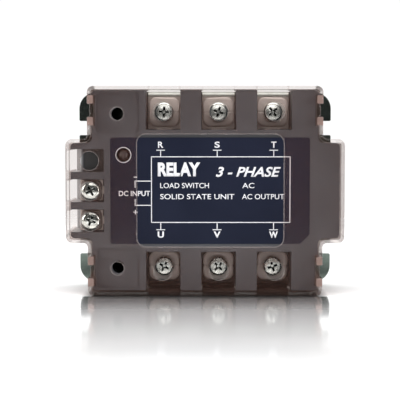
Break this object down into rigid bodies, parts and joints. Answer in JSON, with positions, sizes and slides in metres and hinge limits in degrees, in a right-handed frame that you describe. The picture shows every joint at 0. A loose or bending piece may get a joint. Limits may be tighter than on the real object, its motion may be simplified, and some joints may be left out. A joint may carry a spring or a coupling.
{
  "type": "solid state relay",
  "caption": "Three-phase panel-mount solid state relay with a metal base, recessed screw terminals, a status lamp and a clear lift-off cover.",
  "frame": {"origin": "centre of the base plate's flat mounting face", "axes": "+Y out of the mounting face, so the cover faces -Y; +Z towards the line terminals; +X towards the wing without terminals"},
  "size_m": [0.105, 0.033, 0.079],
  "materials": {
    "base_plate": "satin rolled aluminium with a faint green-grey tint",
    "housing": "fine matte moulded thermoplastic, near black",
    "cover": "clear smoky rose-brown polycarbonate",
    "label": "navy polyester film with white screen print",
    "led": "diffused red lens, unlit",
    "circuit_board": "green solder mask on glass epoxy",
    "resin": "cast potting resin",
    "ceramic": "white alumina",
    "moulded_epoxy": "transfer moulded epoxy package",
    "capacitor_case": "yellow film capacitor case",
    "resistor_coat": "pale blue lacquer",
    "terminal_metal": "nickel plated brass, satin",
    "steel_screw": "bright zinc plated steel"
  },
  "bodies": {
    "root": {"base_plate": "base_plate", "housing": "housing", "label": "label", "status_led": "led", "plate_screw_1": "steel_screw", "plate_screw_2": "steel_screw", "plate_screw_3": "steel_screw", "plate_screw_4": "steel_screw", "control_board": "circuit_board", "resin_fill": "resin", "insulator_r": "ceramic", "insulator_s": "ceramic", "insulator_t": "ceramic", "triac_r": "moulded_epoxy", "triac_s": "moulded_epoxy", "triac_t": "moulded_epoxy", "optocoupler_r": "moulded_epoxy", "optocoupler_s": "moulded_epoxy", "optocoupler_t": "moulded_epoxy", "snubber_capacitor_r": "capacitor_case", "snubber_capacitor_s": "capacitor_case", "snubber_capacitor_t": "capacitor_case", "snubber_resistor_r": "resistor_coat", "snubber_resistor_s": "resistor_coat", "snubber_resistor_t": "resistor_coat", "line_r_terminal": "terminal_metal", "line_s_terminal": "terminal_metal", "line_t_terminal": "terminal_metal", "load_u_terminal": "terminal_metal", "load_v_terminal": "terminal_metal", "load_w_terminal": "terminal_metal", "control_minus_terminal": "terminal_metal", "control_plus_terminal": "terminal_metal"},
    "cover": {"cover": "cover"},
    "line_r_clamp": {"line_r_clamp": "terminal_metal", "line_r_spring_washer": "steel_screw"},
    "line_r_screw": {"line_r_screw": "steel_screw"},
    "line_s_clamp": {"line_s_clamp": "terminal_metal", "line_s_spring_washer": "steel_screw"},
    "line_s_screw": {"line_s_screw": "steel_screw"},
    "line_t_clamp": {"line_t_clamp": "terminal_metal", "line_t_spring_washer": "steel_screw"},
    "line_t_screw": {"line_t_screw": "steel_screw"},
    "load_u_clamp": {"load_u_clamp": "terminal_metal", "load_u_spring_washer": "steel_screw"},
    "load_u_screw": {"load_u_screw": "steel_screw"},
    "load_v_clamp": {"load_v_clamp": "terminal_metal", "load_v_spring_washer": "steel_screw"},
    "load_v_screw": {"load_v_screw": "steel_screw"},
    "load_w_clamp": {"load_w_clamp": "terminal_metal", "load_w_spring_washer": "steel_screw"},
    "load_w_screw": {"load_w_screw": "steel_screw"},
    "control_minus_clamp": {"control_minus_clamp": "terminal_metal", "control_minus_spring_washer": "steel_screw"},
    "control_minus_screw": {"control_minus_screw": "steel_screw"},
    "control_plus_clamp": {"control_plus_clamp": "terminal_metal", "control_plus_spring_washer": "steel_screw"},
    "control_plus_screw": {"control_plus_screw": "steel_screw"}
  },
  "joints": [
    {"name": "cover_lift", "type": "slide", "parent": "root", "child": "cover", "axis": [0, -1, 0], "range_m": [0, 0.035]},
    {"name": "line_r_clamp_lift", "type": "slide", "parent": "root", "child": "line_r_clamp", "axis": [0, -1, 0], "range_m": [0, 0.0035]},
    {"name": "line_r_screw_turn", "type": "hinge", "parent": "line_r_clamp", "child": "line_r_screw", "pos_m": [-0.0159, -0.016, 0.03], "axis": [0, -1, 0], "range_deg": [0, 1812]},
    {"name": "line_s_clamp_lift", "type": "slide", "parent": "root", "child": "line_s_clamp", "axis": [0, -1, 0], "range_m": [0, 0.0035]},
    {"name": "line_s_screw_turn", "type": "hinge", "parent": "line_s_clamp", "child": "line_s_screw", "pos_m": [0.0052, -0.016, 0.03], "axis": [0, -1, 0], "range_deg": [0, 1812]},
    {"name": "line_t_clamp_lift", "type": "slide", "parent": "root", "child": "line_t_clamp", "axis": [0, -1, 0], "range_m": [0, 0.0035]},
    {"name": "line_t_screw_turn", "type": "hinge", "parent": "line_t_clamp", "child": "line_t_screw", "pos_m": [0.0263, -0.016, 0.03], "axis": [0, -1, 0], "range_deg": [0, 1812]},
    {"name": "load_u_clamp_lift", "type": "slide", "parent": "root", "child": "load_u_clamp", "axis": [0, -1, 0], "range_m": [0, 0.0035]},
    {"name": "load_u_screw_turn", "type": "hinge", "parent": "load_u_clamp", "child": "load_u_screw", "pos_m": [-0.0159, -0.016, -0.03], "axis": [0, -1, 0], "range_deg": [0, 1812]},
    {"name": "load_v_clamp_lift", "type": "slide", "parent": "root", "child": "load_v_clamp", "axis": [0, -1, 0], "range_m": [0, 0.0035]},
    {"name": "load_v_screw_turn", "type": "hinge", "parent": "load_v_clamp", "child": "load_v_screw", "pos_m": [0.0052, -0.016, -0.03], "axis": [0, -1, 0], "range_deg": [0, 1812]},
    {"name": "load_w_clamp_lift", "type": "slide", "parent": "root", "child": "load_w_clamp", "axis": [0, -1, 0], "range_m": [0, 0.0035]},
    {"name": "load_w_screw_turn", "type": "hinge", "parent": "load_w_clamp", "child": "load_w_screw", "pos_m": [0.0263, -0.016, -0.03], "axis": [0, -1, 0], "range_deg": [0, 1812]},
    {"name": "control_minus_clamp_lift", "type": "slide", "parent": "root", "child": "control_minus_clamp", "axis": [0, -1, 0], "range_m": [0, 0.0028]},
    {"name": "control_minus_screw_turn", "type": "hinge", "parent": "control_minus_clamp", "child": "control_minus_screw", "pos_m": [-0.0435, -0.025, 0], "axis": [0, -1, 0], "range_deg": [0, 1452]},
    {"name": "control_plus_clamp_lift", "type": "slide", "parent": "root", "child": "control_plus_clamp", "axis": [0, -1, 0], "range_m": [0, 0.0028]},
    {"name": "control_plus_screw_turn", "type": "hinge", "parent": "control_plus_clamp", "child": "control_plus_screw", "pos_m": [-0.0435, -0.025, -0.01145], "axis": [0, -1, 0], "range_deg": [0, 1452]}
  ],
  "couplings": [
    {"joint": "line_r_screw_turn", "follows": "line_r_clamp_lift", "rad_per_m": 8976},
    {"joint": "line_s_screw_turn", "follows": "line_s_clamp_lift", "rad_per_m": 8976},
    {"joint": "line_t_screw_turn", "follows": "line_t_clamp_lift", "rad_per_m": 8976},
    {"joint": "load_u_screw_turn", "follows": "load_u_clamp_lift", "rad_per_m": 8976},
    {"joint": "load_v_screw_turn", "follows": "load_v_clamp_lift", "rad_per_m": 8976},
    {"joint": "load_w_screw_turn", "follows": "load_w_clamp_lift", "rad_per_m": 8976},
    {"joint": "control_minus_screw_turn", "follows": "control_minus_clamp_lift", "rad_per_m": 8976},
    {"joint": "control_plus_screw_turn", "follows": "control_plus_clamp_lift", "rad_per_m": 8976}
  ]
}
